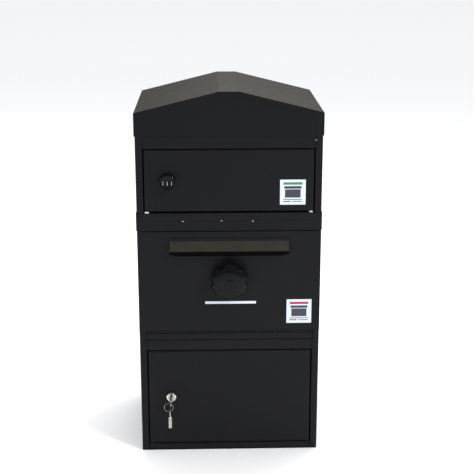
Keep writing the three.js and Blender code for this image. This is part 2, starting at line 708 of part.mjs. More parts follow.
function hopperTray() {
  const { start, end, along, up } = trayLine(SHEET + GAP);
  const lip = end.clone().addScaledVector(up, -TRAY_RIM / 2);
  const corners = [
    [BEHIND, start.y + TRAY_FLANGE],
    [BEHIND, start.y],
    [end.x - along.x * SHEET, end.y - along.y * SHEET],
    [lip.x - along.x * SHEET, lip.y - along.y * SHEET],
  ];
  const half = CHEEK_OUT - SHEET - GAP;
  return alongX(foldedSheet(corners), -half, half);
}

// One leaf of the hinge with every second knuckle.
function hingeLeaf(first, leaf) {
  const pitch = (2 * HINGE_HALF) / KNUCKLES;
  const knuckles = [];
  for (let i = first; i < KNUCKLES; i += 2) {
    const x0 = -HINGE_HALF + i * pitch + GAP / 2;
    const ring = disc(BARREL_HINGE_R, HINGE.y, HINGE.z);
    knuckles.push(alongX(ring, x0, x0 + pitch - GAP, 8));
  }
  const hole = alongX(disc(HINGE_PIN_R + PIN_FIT, HINGE.y, HINGE.z), -HINGE_HALF - PAST, HINGE_HALF + PAST, 6);
  // The leaf stops short of the other leaf's knuckles.
  const clear = [];
  for (let i = 1 - first; i < KNUCKLES; i += 2) {
    const x0 = -HINGE_HALF + i * pitch - GAP / 2;
    clear.push(alongX(disc(BARREL_HINGE_R + GAP, HINGE.y, HINGE.z), x0, x0 + pitch + GAP, 8));
  }
  return cut(join(leaf, ...knuckles), ...clear, hole);
}

function addHopper() {
  const slot = roundRect(-SLOT_W / 2, SLOT_W / 2, SLOT_LOW, SLOT_HIGH, SLOT_CORNER);
  const face = roundRect(-HALF_W, HALF_W, DOOR_FOOT, HOPPER_TOP, SHEET);
  const through = [HOPPER_FRONT - PAST, HOPPER_BACK + PAST];
  const door = cut(
    alongY(face, HOPPER_FRONT, HOPPER_BACK, 3),
    alongY(slot, ...through, 3),
    alongY(disc(STUD_R + GAP, 0, KNOB_Z), ...through, 12),
  );
  add("hopper_door", door, COAT);
  for (const side of [-1, 1]) {
    const name = side < 0 ? "left" : "right";
    add("hopper_" + name + "_cheek", hopperCheek(side), COAT);
    const angle = THREE.MathUtils.radToDeg(Math.acos((JAMB_BACK + STOP_R + GAP - HINGE.y) / STOP_AT));
    const pin = disc(STOP_R, ...swing(STOP_AT, angle - HOPPER_OPEN));
    const x = [side * (CHEEK_OUT + GAP), side * (CHEEK_OUT + STOP_L)].sort((a, b) => a - b);
    add("hopper_" + name + "_stop", alongX(pin, ...x, 10), RUBBER);
  }
  add("hopper_tray", hopperTray(), COAT);
  const fixedLeaf = box(-HINGE_HALF, HINGE_HALF, HINGE.y, HINGE.y + LEAF_REACH, LEAF_Z - LEAF, LEAF_Z);
  const movingLeaf = box(-HINGE_HALF, HINGE_HALF, BEHIND, BEHIND + LEAF, HINGE.z, trayLine().start.y - BEND);
  add("hopper_hinge_fixed_leaf", hingeLeaf(0, fixedLeaf), COAT);
  add("hopper_hinge_moving_leaf", hingeLeaf(1, movingLeaf), COAT);
  add("hopper_hinge_pin", alongX(disc(HINGE_PIN_R, HINGE.y, HINGE.z), -HINGE_HALF, HINGE_HALF, 5), ZINC);
  addHood();
  addLetterFlap();
  addKnob(KNOB_Z);
}

function addHood() {
  const back = HOPPER_FRONT - GAP - SHEET;
  const top = SLOT_HIGH + HOOD_RISE;
  const brow = top - HOOD_FALL;
  const nose = HOPPER_FRONT - HOOD_OUT;
  const corners = [
    [back, top + HOOD_FLANGE],
    [back, top],
    [nose, brow],
    [nose, brow - HOOD_FOOT],
  ];
  const sheet = alongX(foldedSheet(corners, SHEET, BEND, 2), -HOOD_HALF, HOOD_HALF);
  const end = shapeOf([
    [back + SHEET, top - SHEET / 2],
    [back, top - SHEET / 2],
    [nose + SHEET / 2, brow - SHEET / 2],
    [nose + SHEET / 2, brow - HOOD_FOOT],
    [back + SHEET, brow - HOOD_FOOT],
  ]);
  const ends = [alongX(end, -HOOD_HALF, -HOOD_HALF + SHEET), alongX(end, HOOD_HALF - SHEET, HOOD_HALF)];
  add("letter_hood", join(sheet, ...ends), COAT);
}

function addLetterFlap() {
  const pinY = HOPPER_BACK + FLAP_ROLL + 2 * GAP;
  const pinZ = SLOT_HIGH + FLAP_ROLL + FLAP_SIDE;
  const half = SLOT_W / 2 + FLAP_OVER;
  const bore = alongX(disc(FLAP_PIN_R + PIN_FIT, pinY, pinZ), -half - EAR_REACH - PAST, half + EAR_REACH + PAST, 6);
  const plate = box(
    -half, half, pinY - FLAP_T / 2, pinY + FLAP_T / 2, SLOT_LOW - FLAP_OVER, pinZ - FLAP_PIN_R - GAP,
  );
  const roll = alongX(disc(FLAP_ROLL, pinY, pinZ), -half, half, 8);
  add("letter_flap", cut(join(plate, roll), bore), COAT);
  const wide = half + HANGER_OVER;
  const top = pinZ + HANGER_TOP;
  const strip = box(-wide, wide, BEHIND, BEHIND + LEAF, pinZ + FLAP_ROLL + FLAP_SIDE, top);
  const ears = [-1, 1].map((side) => {
    const x = [side * (half + FLAP_SIDE), side * (half + FLAP_SIDE + SHEET)].sort((a, b) => a - b);
    return box(...x, BEHIND, pinY + EAR_REACH, pinZ - EAR_REACH, top);
  });
  add("letter_flap_hanger", cut(join(strip, ...ears), bore), ZINC);
  add("letter_flap_pin", alongX(disc(FLAP_PIN_R, pinY, pinZ), -half - EAR_REACH, half + EAR_REACH, 5), ZINC);
}

// A lobed pull knob on a threaded stud.
function addKnob(z) {
  const outline = [];
  const steps = KNOB_LOBES * 10;
  for (let i = 0; i < steps; i++) {
    const a = (2 * Math.PI * i) / steps;
    const r = KNOB_R - KNOB_LOBE - KNOB_BEVEL + KNOB_LOBE * Math.cos(KNOB_LOBES * (a - Math.PI / 2));
    outline.push([r * Math.cos(a), z + r * Math.sin(a)]);
  }
  const seat = HOPPER_FRONT - GAP;
  const depth = KNOB_T - 2 * KNOB_BEVEL;
  const crown = new THREE.ExtrudeGeometry(shapeOf(outline), {
    depth,
    bevelEnabled: true,
    bevelSize: KNOB_BEVEL,
    bevelThickness: KNOB_BEVEL,
    bevelSegments: 4,
    curveSegments: 4,
  })
    .rotateX(Math.PI / 2)
    .translate(0, seat - KNOB_NECK - KNOB_BEVEL, 0);
  const neck = alongY(disc(KNOB_NECK_R, 0, z), seat - KNOB_NECK - KNOB_BEVEL, seat, 16);
  const blind = seat - KNOB_NECK - KNOB_T / 2;
  const bore = alongY(disc(STUD_R + GAP, 0, z), blind - GAP, seat + PAST, 12);
  add("star_knob", cut(join(crown, neck), bore), BLACK_PLASTIC);
  const stud = [
    [0, blind],
    [STUD_R, blind],
    [STUD_R, HOPPER_BACK + STUD_IN],
    [0, HOPPER_BACK + STUD_IN],
  ];
  add("knob_stud", turned(stud, 0, z, 24), ZINC);
  const nut = hexagon(STUD_NUT_R, 0, z);
  nut.holes.push(disc(STUD_R + GAP, 0, z));
  add("knob_nut", alongY(nut, BEHIND, BEHIND + STUD_NUT_T, 12), ZINC);
}

// ---------------------------------------------------------------- labels
function addLabel(name, right, z, face) {
  const outline = roundRect(right - LABEL, right, z, z + LABEL, LABEL_CORNER);
  add(name, alongY(outline, face - GAP - LABEL_T, face - GAP, 3), PAPER);
}

// ---------------------------------------------------------------- assembly
addLowerModule();
addMiddleModule();
const upper = addUpperModule();
addRoof();
addDoor(
  "upper", upper.sill + UPPER_SILL_GAP, upper.head - DOOR_GAP, upper.sill, upper.head,
  UPPER_Z + UPPER_LOCK_Z, NYLON,
);
addCombinationLock(UPPER_Z + UPPER_LOCK_Z);
addDoor(
  "lower", LOWER_SILL_H + LOWER_SILL_GAP, LOWER_DOOR_TOP, LOWER_SILL_H, LOWER_DOOR_TOP + DOOR_GAP,
  LOWER_LOCK_Z, BLACK_PLASTIC,
);
addCamLock(LOWER_LOCK_Z);
addHopper();
addLabel("upper_label", DOOR_HALF - UPPER_LABEL_EDGE, UPPER_Z + UPPER_LABEL_Z, FRONT);
addLabel("middle_label", HALF_W - MIDDLE_LABEL_EDGE, MIDDLE_Z + MIDDLE_LABEL_Z, HOPPER_FRONT);

export default group;
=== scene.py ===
"""Looks of a parcel drop box.

Black powder-coated steel, a lobed pull knob, a combination lock, a keyed lock, labels and fasteners.
Pieces are sized in millimetres, which MM turns into metres. Materials and the stage are in metres.
"""

import json
import logging
import math
from dataclasses import dataclass, field
from enum import Enum

import bpy
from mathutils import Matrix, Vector


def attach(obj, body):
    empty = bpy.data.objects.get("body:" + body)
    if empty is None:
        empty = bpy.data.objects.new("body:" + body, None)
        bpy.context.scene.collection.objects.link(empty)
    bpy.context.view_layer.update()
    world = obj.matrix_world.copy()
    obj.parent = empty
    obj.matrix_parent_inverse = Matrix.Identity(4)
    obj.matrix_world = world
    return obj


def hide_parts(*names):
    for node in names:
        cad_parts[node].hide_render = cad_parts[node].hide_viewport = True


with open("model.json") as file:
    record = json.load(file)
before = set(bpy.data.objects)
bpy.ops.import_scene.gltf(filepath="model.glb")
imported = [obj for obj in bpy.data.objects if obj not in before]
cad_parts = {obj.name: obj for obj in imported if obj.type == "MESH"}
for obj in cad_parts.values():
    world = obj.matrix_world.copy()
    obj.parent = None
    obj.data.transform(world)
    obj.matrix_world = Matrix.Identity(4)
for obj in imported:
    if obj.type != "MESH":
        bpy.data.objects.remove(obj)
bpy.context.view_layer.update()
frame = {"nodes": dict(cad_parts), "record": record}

logging.basicConfig(level=logging.INFO, format="%(message)s")
log = logging.getLogger("drop_box")

MM = 0.001
FULL_TURN = 2 * math.pi
Colour = tuple[float, float, float]
Point = tuple[float, float, float]
Span = tuple[float, float]
Socket = bpy.types.NodeSocket
Piece = bpy.types.Object


class Slot(Enum):
    """Material slots of the part's record."""

    COAT = "powder_coat"
    ZINC = "zinc_steel"
    CHROME = "chrome"
    NICKEL = "nickel"
    PLASTIC = "black_plastic"
    NYLON = "nylon"
    RUBBER = "rubber"
    LABEL = "label"


class Ink(Enum):
    """Printed colours on the labels."""

    GREY = (0.030, 0.034, 0.048)
    GREEN = (0.045, 0.18, 0.070)
    RED = (0.30, 0.030, 0.035)


class Axis(Enum):
    """Directions a turned piece can stand along, as Euler angles that lay +Z on them."""

    FRONT = (math.pi / 2, 0.0, 0.0)
    RIGHT = (0.0, math.pi / 2, 0.0)
    UP = (0.0, 0.0, 0.0)


# ------------------------------------------------------------------ nodes of a material


class Nodes:
    """A small writer for one material's node tree."""

    def __init__(self, name: str) -> None:
        """Starts a material with a bare Principled shader.

        Args:
            name: The material's name.
        """
        self.material = bpy.data.materials.new(name)
        self.material.use_nodes = True
        self.tree = self.material.node_tree
        self.tree.nodes.clear()
        self.shader = self.node("ShaderNodeBsdfPrincipled")
        out = self.node("ShaderNodeOutputMaterial")
        self.link(self.shader.outputs["BSDF"], out.inputs["Surface"])
        frame_of_piece = self.node("ShaderNodeTexCoord")
        self.place = frame_of_piece.outputs["Object"]
        self.facing = frame_of_piece.outputs["Normal"]

    def node(self, kind: str, **settings: object) -> bpy.types.Node:
        """Adds a node and sets its properties.

        Args:
            kind: The node's Blender type.
            **settings: Properties of the node.

        Returns:
            The new node.
        """
        made = self.tree.nodes.new(kind)
        for key, value in settings.items():
            setattr(made, key, value)
        return made

    def link(self, source: Socket, target: Socket) -> None:
        """Joins two sockets."""
        self.tree.links.new(source, target)

    def noise(self, scale: float, detail: float = 2.0, stretch: Point = (1, 1, 1)) -> Socket:
        """A noise value on object coordinates.

        Args:
            scale: Noise scale, per metre.
            detail: Octaves.
            stretch: Scale along each axis.

        Returns:
            The noise's value socket.
        """
        turn = self.node("ShaderNodeMapping")
        turn.inputs["Scale"].default_value = stretch
        self.link(self.place, turn.inputs["Vector"])
        made = self.node("ShaderNodeTexNoise")
        made.inputs["Scale"].default_value = scale
        made.inputs["Detail"].default_value = detail
        self.link(turn.outputs["Vector"], made.inputs["Vector"])
        return made.outputs["Fac"]

    def ramp(self, value: Socket, low: float, high: float) -> Socket:
        """Maps a value from [low, high] to [0, 1], clamped.

        Args:
            value: The value to map.
            low: Value that gives 0.
            high: Value that gives 1.

        Returns:
            The mapped value's socket.
        """
        made = self.node("ShaderNodeMapRange")
        made.inputs["From Min"].default_value = low
        made.inputs["From Max"].default_value = high
        self.link(value, made.inputs["Value"])
        return made.outputs["Result"]

    def spread(self, value: Socket, low: float, high: float) -> Socket:
        """Maps a value from [0, 1] to [low, high].

        Args:
            value: The value to map.
            low: What 0 gives.
            high: What 1 gives.

        Returns:
            The mapped value's socket.
        """
        made = self.node("ShaderNodeMapRange")
        made.inputs["To Min"].default_value = low
        made.inputs["To Max"].default_value = high
        self.link(value, made.inputs["Value"])
        return made.outputs["Result"]

    def math(self, operation: str, a: object, b: object) -> Socket:
        """Combines two values, each a socket or a number.

        Args:
            operation: Blender's name of the operation.
            a: First value.
            b: Second value.

        Returns:
            The result's socket.
        """
        made = self.node("ShaderNodeMath", operation=operation)
        for socket, value in zip(made.inputs, (a, b)):
            if isinstance(value, (int, float)):
                socket.default_value = value
            else:
                self.link(value, socket)
        return made.outputs["Value"]

    def blend(self, share: Socket, first: object, second: object) -> Socket:
        """Mixes two colours, each a socket or a colour.

        Args:
            share: How much of the second colour shows.
            first: Colour at 0.
            second: Colour at 1.

        Returns:
            The mixed colour's socket.
        """
        made = self.node("ShaderNodeMix", data_type="RGBA")
        self.link(share, made.inputs["Factor"])
        colour_inputs = [s for s in made.inputs if s.type == "RGBA"]
        for socket, value in zip(colour_inputs, (first, second)):
            if isinstance(value, tuple):
                socket.default_value = (*value, 1.0)
            else:
                self.link(value, socket)
        return next(s for s in made.outputs if s.type == "RGBA")

    def bump(self, *layers: tuple[Socket, float, float]) -> None:
        """Stacks bump layers on the shader.

        Args:
            *layers: Height, strength and depth in metres of each layer.
        """
        below = None
        for height, strength, depth in layers:
            made = self.node("ShaderNodeBump")
            made.inputs["Strength"].default_value = strength
            made.inputs["Distance"].default_value = depth
            self.link(height, made.inputs["Height"])
            if below is not None:
                self.link(below, made.inputs["Normal"])
            below = made.outputs["Normal"]
        self.link(below, self.shader.inputs["Normal"])

    def set(self, **values: object) -> None:
        """Sets constants on the shader's own sockets.

        Args:
            **values: The sockets' names, with underscores for spaces, and their values.
        """
        for key, value in values.items():
            self.shader.inputs[key.replace("_", " ")].default_value = value


# ------------------------------------------------------------------ finishes


@dataclass(frozen=True)
class PowderCoat:
    """Fine-textured black powder coat, with dust and painted sky light on what faces up, and a few chips on an
    edge.
    """

    name: str = "powder_coat"
    dark: Colour = (0.0040, 0.0042, 0.0053)
    light: Colour = (0.0048, 0.0050, 0.0063)
    speck: Colour = (0.011, 0.0115, 0.0135)
    # Warm grey laid on up-facing faces: partly dust, partly painted sky light.
    dust: Colour = (0.078, 0.069, 0.050)
    dust_share: float = 0.10
    roughness: Span = (0.43, 0.49)
    sheen: float = 0.15
    grain: float = 1500.0
    speck_share: float = 0.28
    facing_up: Span = (0.35, 0.75)
    chips: tuple[Point, ...] = ()
    chip_colour: Colour = (0.62, 0.62, 0.60)
    chip_metallic: float = 0.85
    chip_squeeze: Point = (0.42, 0.5, 1.0)
    chip_reach: Span = (0.0019, 0.0015)
    chip_ragged: float = 0.0016

    def build(self) -> bpy.types.Material:
        """Makes the material.

        Returns:
            The material.
        """
        n = Nodes(self.name)
        cloud = n.noise(7.0, 4.0)
        grain = n.noise(self.grain, 2.0)
        peel = n.noise(self.grain / 4.5, 1.0)
        colour = n.blend(n.ramp(cloud, 0.3, 0.7), self.dark, self.light)
        colour = n.blend(n.spread(n.ramp(grain, 0.45, 0.75), 0.0, self.speck_share), colour, self.speck)
        # Dust and painted sky light: faces that point up are lightened towards a warm grey, for settled dust
        # and for the light that falls on them from above.
        axes = n.node("ShaderNodeSeparateXYZ")
        n.link(n.facing, axes.inputs["Vector"])
        up = n.ramp(axes.outputs["Z"], *self.facing_up)
        patchy = n.spread(n.ramp(n.noise(26.0, 5.0), 0.3, 0.75), 0.72, 1.0)
        dust_and_sky_light_mask = n.math("MULTIPLY", up, patchy)
        colour = n.blend(n.math("MULTIPLY", dust_and_sky_light_mask, self.dust_share), colour, self.dust)
        metal = None
        for chip in self.chips:
            metal = self._chip(n, chip, metal)
        if metal is not None:
            colour = n.blend(metal, colour, self.chip_colour)
            n.link(n.math("MULTIPLY", metal, self.chip_metallic), n.shader.inputs["Metallic"])
        n.link(colour, n.shader.inputs["Base Color"])
        rough = n.spread(n.ramp(n.noise(40.0, 5.0), 0.3, 0.7), *self.roughness)
        n.link(rough, n.shader.inputs["Roughness"])
        n.set(Specular_IOR_Level=self.sheen)
        n.bump((peel, 0.16, 0.00022), (grain, 0.22, 0.00006))
        return n.material

    def _chip(self, n: Nodes, chip: Point, before: Socket | None) -> Socket:
        """Adds one chip of bare metal to the mask.

        Args:
            n: The material's nodes.
            chip: The chip's place, in metres.
            before: The mask so far.

        Returns:
            The mask with the chip.
        """
        shift = n.node("ShaderNodeVectorMath", operation="SUBTRACT")
        n.link(n.place, shift.inputs[0])
        shift.inputs[1].default_value = chip
        squeeze = n.node("ShaderNodeVectorMath", operation="MULTIPLY")
        n.link(shift.outputs["Vector"], squeeze.inputs[0])
        squeeze.inputs[1].default_value = self.chip_squeeze
        reach = n.node("ShaderNodeVectorMath", operation="LENGTH")
        n.link(squeeze.outputs["Vector"], reach.inputs[0])
        torn = n.math("MULTIPLY", n.noise(900.0, 3.0), self.chip_ragged)
        ragged = n.math("ADD", reach.outputs["Value"], torn)
        mask = n.ramp(ragged, *self.chip_reach)
        return mask if before is None else n.math("MAXIMUM", before, mask)


@dataclass(frozen=True)
class Metal:
    """Plated steel with a fine grain along one axis."""

    name: str
    colour: Colour
    tint: Colour
    roughness: Span
    stretch: Point = (1.0, 1.0, 1.0)
    grain: float = 900.0
    scratches: float = 0.12

    def build(self) -> bpy.types.Material:
        """Makes the material.

        Returns:
            The material.
        """
        n = Nodes(self.name)
        cloud = n.noise(90.0, 4.0)
        lines = n.noise(self.grain, 3.0, self.stretch)
        colour = n.blend(n.ramp(cloud, 0.3, 0.7), self.colour, self.tint)
        n.link(colour, n.shader.inputs["Base Color"])
        n.link(n.spread(n.ramp(lines, 0.3, 0.7), *self.roughness), n.shader.inputs["Roughness"])
        n.set(Metallic=1.0)
        n.bump((lines, self.scratches, 0.00004))
        return n.material


@dataclass(frozen=True)
class Moulded:
    """Moulded plastic, rubber, nylon or vinyl: a fine matte grain with slight cloudiness."""

    name: str
    colour: Colour
    tint: Colour
    roughness: Span
    grain: float = 1800.0
    depth: float = 0.00005
    sheen: float = 0.5

    def build(self) -> bpy.types.Material:
        """Makes the material.

        Returns:
            The material.
        """
        n = Nodes(self.name)
        cloud = n.noise(60.0, 3.0)
        grain = n.noise(self.grain, 2.0)
        colour = n.blend(n.ramp(cloud, 0.3, 0.7), self.colour, self.tint)
        n.link(colour, n.shader.inputs["Base Color"])
        n.link(n.spread(n.ramp(grain, 0.35, 0.65), *self.roughness), n.shader.inputs["Roughness"])
        n.set(Specular_IOR_Level=self.sheen)
        n.bump((grain, 0.25, self.depth))
        return n.material


# ------------------------------------------------------------------ modelling by hand


def only(piece: Piece) -> None:
    """Makes one object the only selected and the active one.

    Args:
        piece: The object.
    """
    bpy.ops.object.select_all(action="DESELECT")
    piece.select_set(True)
    bpy.context.view_layer.objects.active = piece


def named(name: str) -> Piece:
    """Names the active object and its mesh.

    Args:
        name: The piece's name.

    Returns:
        The active object.
    """
    piece = bpy.context.view_layer.objects.active
    piece.name = name
    piece.data.name = name
    return piece


def settle(piece: Piece) -> Piece:
    """Puts the object's place, turn and scale into its mesh.

    Args:
        piece: The object.

    Returns:
        The piece.
    """
    only(piece)
    bpy.ops.object.transform_apply(location=True, rotation=True, scale=True)
    return piece


def modify(piece: Piece, kind: str, **settings: object) -> None:
    """Adds a modifier and applies it.

    Args:
        piece: The object.
        kind: The modifier's type.
        **settings: The modifier's properties.
    """
    only(piece)
    bpy.ops.object.modifier_add(type=kind)
    made = piece.modifiers[-1]
    for key, value in settings.items():
        setattr(made, key, value)
    bpy.ops.object.modifier_apply(modifier=made.name)


def edit_all(piece: Piece) -> None:
    """Opens a piece in edit mode with all of its mesh selected.

    Args:
        piece: The object.
    """
    only(piece)
    bpy.ops.object.mode_set(mode="EDIT")
    bpy.ops.mesh.select_all(action="SELECT")


def leave_edit() -> None:
    """Goes back to object mode."""
    bpy.ops.object.mode_set(mode="OBJECT")


def shade(piece: Piece, degrees: float = 35.0) -> Piece:
    """Shades smooth over folds shallower than an angle.

    Args:
        piece: The object.
        degrees: The angle.

    Returns:
        The piece.
    """
    only(piece)
    bpy.ops.object.shade_smooth_by_angle(angle=math.radians(degrees))
    return piece


def cylinder(
    name: str, radius: float, low: Point, length: float, axis: Axis, sides: int = 64
) -> Piece:
    """A cylinder from a point along an axis, everything in millimetres.

    Args:
        name: The piece's name.
        radius: Its radius.
        low: Centre of one end.
        length: How far it reaches along the axis; Axis.FRONT reaches towards the front.
        axis: The axis.
        sides: Number of sides.

    Returns:
        The new object.
    """
    ways = {Axis.FRONT: (0, -1, 0), Axis.RIGHT: (1, 0, 0), Axis.UP: (0, 0, 1)}
    way = Vector(ways[axis])
    centre = (Vector(low) + way * length / 2) * MM
    bpy.ops.object.select_all(action="DESELECT")
    bpy.ops.mesh.primitive_cylinder_add(
        vertices=sides, radius=radius * MM, depth=length * MM, location=centre, rotation=axis.value
    )
    return settle(named(name))


def block(name: str, low: Point, high: Point) -> Piece:
    """A block between two corners, in millimetres.

    Args:
        name: The piece's name.
        low: Lowest corner.
        high: Highest corner.

    Returns:
        The new object.
    """
    low_v, high_v = Vector(low) * MM, Vector(high) * MM
    bpy.ops.object.select_all(action="DESELECT")
    bpy.ops.mesh.primitive_cube_add(size=1.0, location=(low_v + high_v) / 2)
    piece = named(name)
    piece.scale = high_v - low_v
    return settle(piece)


def repeat_round(piece: Piece, copies: int, centre: Point, axis: Point = (0.0, 1.0, 0.0)) -> Piece:
    """Copies a piece's mesh round a line, in equal steps of a full turn.

    Args:
        piece: The object.
        copies: Number of places, its own included.
        centre: A point on the line, in millimetres.
        axis: The line's direction.

    Returns:
        The piece.
    """
    edit_all(piece)
    bpy.ops.mesh.spin(
        steps=copies - 1, dupli=True, angle=FULL_TURN * (copies - 1) / copies,
        center=tuple(Vector(centre) * MM), axis=axis,
    )
    leave_edit()
    return piece


def lathe(name: str, profile: list[Span], x: float, z: float, steps: int = 64) -> Piece:
    """A body turned about a line along Y: a drawn profile, spun.

    Args:
        name: The piece's name.
        profile: Radius and Y of each corner, in millimetres, closed by its ends on the line or by meeting.
        x: The line's X, in millimetres.
        z: The line's Z, in millimetres.
        steps: Facets round the body.

    Returns:
        The new object.
    """
    radius, y = profile[0]
    bpy.ops.object.select_all(action="DESELECT")
    bpy.ops.mesh.primitive_plane_add(size=MM, location=((x + radius) * MM, y * MM, z * MM))
    piece = named(name)
    bpy.ops.object.mode_set(mode="EDIT")
    bpy.ops.mesh.select_all(action="SELECT")
    bpy.ops.mesh.merge(type="CENTER")
    for (r0, y0), (r1, y1) in zip(profile, profile[1:]):
        step = ((r1 - r0) * MM, (y1 - y0) * MM, 0.0)
        bpy.ops.mesh.extrude_region_move(TRANSFORM_OT_translate={"value": step})
    bpy.ops.mesh.select_all(action="SELECT")
    bpy.ops.mesh.spin(steps=steps, angle=FULL_TURN, center=(x * MM, 0.0, z * MM), axis=(0.0, 1.0, 0.0))
    bpy.ops.mesh.select_all(action="SELECT")
    bpy.ops.mesh.remove_doubles(threshold=0.000002)
    bpy.ops.mesh.dissolve_degenerate(threshold=0.000001)
    bpy.ops.mesh.normals_make_consistent(inside=False)
    leave_edit()
    return settle(piece)


def together(name: str, pieces: list[Piece]) -> Piece:
    """Joins pieces into one object, their meshes kept apart.

    Args:
        name: The joined piece's name.
        pieces: The pieces.

    Returns:
        The joined piece.
    """
    bpy.ops.object.select_all(action="DESELECT")
    for piece in pieces:
        piece.select_set(True)
    bpy.context.view_layer.objects.active = pieces[0]
    bpy.ops.object.join()
    return named(name)


def turn_about(piece: Piece, degrees: float, axis: str, centre: Point) -> Piece:
    """Turns a piece about a point, by the right-hand rule.

    Args:
        piece: The object.
        degrees: The angle.
        axis: Blender's axis name.
        centre: The point, in millimetres.

    Returns:
        The piece, its turn settled in its mesh.
    """
    only(piece)
    bpy.ops.transform.rotate(
        value=-math.radians(degrees), orient_axis=axis, orient_type="GLOBAL",
        center_override=tuple(Vector(centre) * MM),
    )
    return settle(piece)


def carve(piece: Piece, tool: Piece, operation: str = "DIFFERENCE") -> Piece:
    """Cuts a tool out of a piece, or joins it on, and removes the tool.

    Args:
        piece: The object that is kept.
        tool: The object that is used up.
        operation: The boolean's operation.

    Returns:
        The piece.
    """
    modify(piece, "BOOLEAN", operation=operation, object=tool, solver="EXACT")
    bpy.data.objects.remove(tool)
    return piece


def soften(piece: Piece, width: float, segments: int = 3, angle: float = 30.0) -> Piece:
    """Rounds a piece's sharp edges.

    Args:
        piece: The object.
        width: Width of the rounding, in millimetres.
        segments: Its segments.
        angle: Only edges sharper than this many degrees are rounded.

    Returns:
        The piece.
    """
    modify(
        piece, "BEVEL", width=width * MM, segments=segments, limit_method="ANGLE",
        angle_limit=math.radians(angle), use_clamp_overlap=True,
    )
    return shade(piece)


class Workshop:
    """Keeps the finishes, and dresses and mounts finished pieces."""

    def __init__(self) -> None:
        """Builds every finish once."""
        chips = (
            (-0.112, -0.1838, 0.6102), (-0.018, -0.1838, 0.6112), (0.057, -0.1838, 0.6100),
            (0.2075, -0.1825, 0.8082),
        )
        self.finishes: dict[Slot, bpy.types.Material] = {
            Slot.COAT: PowderCoat(chips=chips).build(),
            Slot.ZINC: Metal(
                "zinc_steel", (0.52, 0.53, 0.54), (0.60, 0.60, 0.58), (0.30, 0.46), (1, 9, 1)
            ).build(),
            Slot.CHROME: Metal("chrome", (0.70, 0.69, 0.67), (0.62, 0.60, 0.57), (0.07, 0.18)).build(),
            Slot.NICKEL: Metal(
                "nickel", (0.56, 0.54, 0.50), (0.46, 0.44, 0.40), (0.16, 0.30), (1, 1, 6)
            ).build(),
            Slot.PLASTIC: Moulded(
                "black_plastic", (0.0036, 0.0038, 0.0048), (0.0050, 0.0052, 0.0064), (0.13, 0.22), sheen=0.13
            ).build(),
            Slot.NYLON: Moulded("nylon", (0.62, 0.62, 0.58), (0.70, 0.70, 0.68), (0.40, 0.55)).build(),
            # Near-black rubber, kept this dark so that the hood's guard also serves as painted shadow under
            # the hood.
            Slot.RUBBER: Moulded(
                "rubber", (0.0012, 0.0012, 0.0014), (0.0018, 0.0018, 0.0020), (0.70, 0.88), sheen=0.04
            ).build(),
            Slot.LABEL: Moulded("label", (0.60, 0.66, 0.74), (0.66, 0.71, 0.78), (0.30, 0.42)).build(),
        }
        # The roof and the hood take a heavier share: dust, and painted sky light that lightens their up-facing
        # slopes.
        self.weathered = PowderCoat("powder_coat_weathered", dust_share=0.54).build()
        self.inks: dict[Ink, bpy.types.Material] = {}
        for ink in Ink:
            paler = tuple(part * 1.15 for part in ink.value)
            self.inks[ink] = Moulded(f"ink_{ink.name.lower()}", ink.value, paler, (0.35, 0.5)).build()

    def coat(self, piece: Piece, finish: bpy.types.Material) -> None:
        """Gives a piece one material in place of any that it has."""
        piece.data.materials.clear()
        piece.data.materials.append(finish)

    def mount(self, piece: Piece, body: str, slot: Slot, *stands_for: str) -> None:
        """Dresses a new piece, hangs it on a body and hides the nodes that it stands for.

        Args:
            piece: The new piece.
            body: The body that it rides on.
            slot: Its finish.
            *stands_for: CAD nodes that it replaces.
        """
        self.coat(piece, self.finishes[slot])
        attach(piece, body)
        if stands_for:
            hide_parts(*stands_for)
        log.info("%s: %d faces, on %s", piece.name, len(piece.data.polygons), body)


# ------------------------------------------------------------------ sheet metal and carried-over nodes


@dataclass
class SheetMetal:
    """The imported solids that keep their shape: welded, their edges eased, and dressed."""

    workshop: Workshop
    edge: float = 0.35
    segments: int = 2
    weld: float = 0.00001
    fold: float = 40.0
    smooth: float = 32.0
    flatness: int = 100
    # Nodes given the heavier dust and painted sky light on their up-facing slopes.
    weathered: tuple[str, ...] = ("roof_shell", "letter_hood")
    eased: dict[str, float] = field(
        default_factory=lambda: {
            "hopper_hinge_fixed_leaf": 0.2, "hopper_hinge_moving_leaf": 0.2, "hopper_hinge_pin": 0.2,
            "letter_flap": 0.25, "letter_flap_hanger": 0.2, "letter_flap_pin": 0.2,
            "upper_pivot_washer": 0.25, "lower_pivot_washer": 0.25,
        }
    )

    def finish_all(self, record: dict) -> None:
        """Dresses every node by its slot, and eases its edges with live modifiers.

        Args:
            record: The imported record.
        """
        slots = {row["node"]: Slot(row["material_slot"]) for row in record["subparts"]}
        for name, node in frame["nodes"].items():
            lit_and_dusty = name in self.weathered
            finish = self.workshop.weathered if lit_and_dusty else self.workshop.finishes[slots[name]]
            self.workshop.coat(node, finish)
            width = self.eased.get(name, self.edge)
            join_up = node.modifiers.new("weld", "WELD")
            join_up.merge_threshold = self.weld
            ease = node.modifiers.new("ease", "BEVEL")
            ease.width = width * MM
            ease.segments = self.segments
            ease.limit_method = "ANGLE"
            ease.angle_limit = math.radians(self.fold)
            shade(node, self.smooth)
            flat = node.modifiers.new("flat", "WEIGHTED_NORMAL")
            flat.weight = self.flatness
            flat.keep_sharp = True
            log.info("%s: %s", name, slots[name].value)


# ------------------------------------------------------------------ hood trim and painted shadow under the hood


